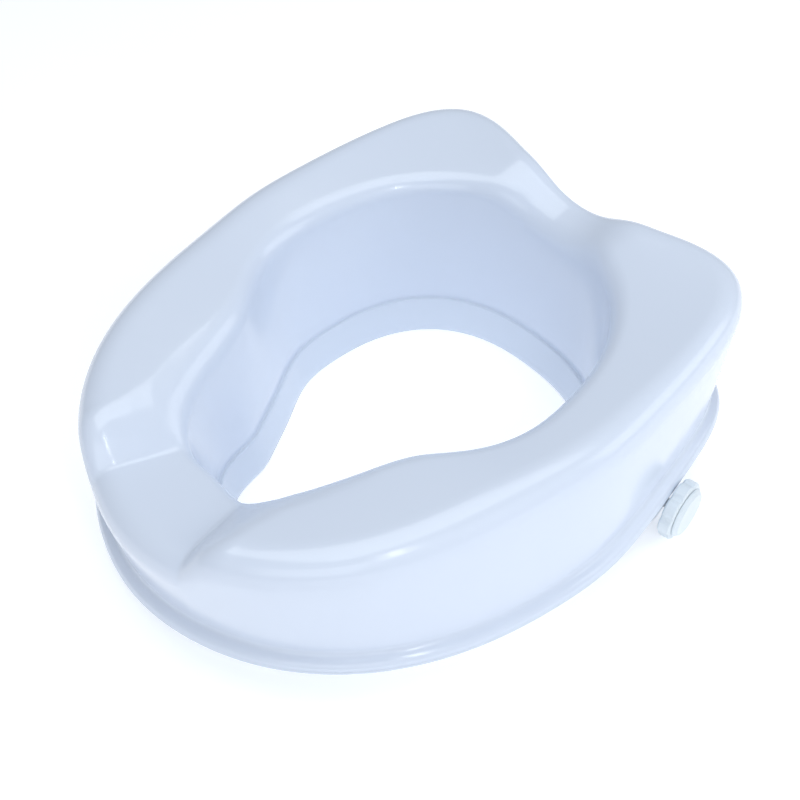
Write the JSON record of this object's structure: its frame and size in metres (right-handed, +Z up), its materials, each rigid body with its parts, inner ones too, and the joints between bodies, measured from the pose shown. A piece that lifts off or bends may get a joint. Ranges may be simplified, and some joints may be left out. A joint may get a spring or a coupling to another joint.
{
  "type": "raised toilet seat",
  "caption": "Hollow moulded raised toilet seat with a keyhole aperture, front and rear dips, a splash lip, and hand-screwed side clamps that grip the bowl.",
  "frame": {"origin": "middle of the bounding box, on the plane that the splash lip's lower edge stands on", "axes": "+Z up, -Y the front, +X the right side as seen from the front"},
  "size_m": [0.371, 0.4046, 0.1484],
  "materials": {
    "seat_plastic": "glossy moulded, bluish white",
    "base_plastic": "semi-gloss moulded white",
    "clamp_plastic": "satin moulded white",
    "knob_plastic": "satin moulded white",
    "rubber": "matt pale grey",
    "steel": "zinc plated",
    "brass": "turned brass"
  },
  "bodies": {
    "seat": {"seat_shell": "seat_plastic", "base_plate": "base_plastic", "pad_front_left": "rubber", "pad_front_right": "rubber", "pad_side_left": "rubber", "pad_side_right": "rubber", "left_slot_screw_front": "steel", "left_slot_washer_front": "steel", "left_boss_insert_front": "brass", "left_slot_screw_rear": "steel", "left_slot_washer_rear": "steel", "left_boss_insert_rear": "brass", "right_slot_screw_front": "steel", "right_slot_washer_front": "steel", "right_boss_insert_front": "brass", "right_slot_screw_rear": "steel", "right_slot_washer_rear": "steel", "right_boss_insert_rear": "brass"},
    "left_clamp": {"left_bracket": "clamp_plastic", "left_thread_insert": "brass"},
    "left_foot": {"left_pressure_foot": "clamp_plastic", "left_foot_rubber": "rubber"},
    "left_handscrew": {"left_clamp_screw": "steel", "left_knob": "knob_plastic", "left_knob_cap": "knob_plastic"},
    "right_clamp": {"right_bracket": "clamp_plastic", "right_thread_insert": "brass"},
    "right_foot": {"right_pressure_foot": "clamp_plastic", "right_foot_rubber": "rubber"},
    "right_handscrew": {"right_clamp_screw": "steel", "right_knob": "knob_plastic", "right_knob_cap": "knob_plastic"}
  },
  "joints": [
    {"name": "left_bracket_slide", "type": "slide", "parent": "seat", "child": "left_clamp", "axis": [-0.9848, 0.1736, 0], "range_m": [0, 0.01]},
    {"name": "left_foot_travel", "type": "slide", "parent": "left_clamp", "child": "left_foot", "axis": [-0.9848, 0.1736, 0], "range_m": [-0.0006, 0.0081]},
    {"name": "left_knob_turn", "type": "hinge", "parent": "left_foot", "child": "left_handscrew", "pos_m": [-0.16911, 0.10444, 0.0239], "axis": [-0.9848, 0.1736, 0], "range_deg": [-144, 2304]},
    {"name": "right_bracket_slide", "type": "slide", "parent": "seat", "child": "right_clamp", "axis": [0.9848, 0.1736, 0], "range_m": [0, 0.01]},
    {"name": "right_foot_travel", "type": "slide", "parent": "right_clamp", "child": "right_foot", "axis": [0.9848, 0.1736, 0], "range_m": [-0.0006, 0.0081]},
    {"name": "right_knob_turn", "type": "hinge", "parent": "right_foot", "child": "right_handscrew", "pos_m": [0.16911, 0.10444, 0.0239], "axis": [0.9848, 0.1736, 0], "range_deg": [-144, 2304]}
  ],
  "couplings": [
    {"joint": "left_foot_travel", "follows": "left_knob_turn", "m_per_rad": 0.00019894},
    {"joint": "right_foot_travel", "follows": "right_knob_turn", "m_per_rad": 0.00019894}
  ]
}
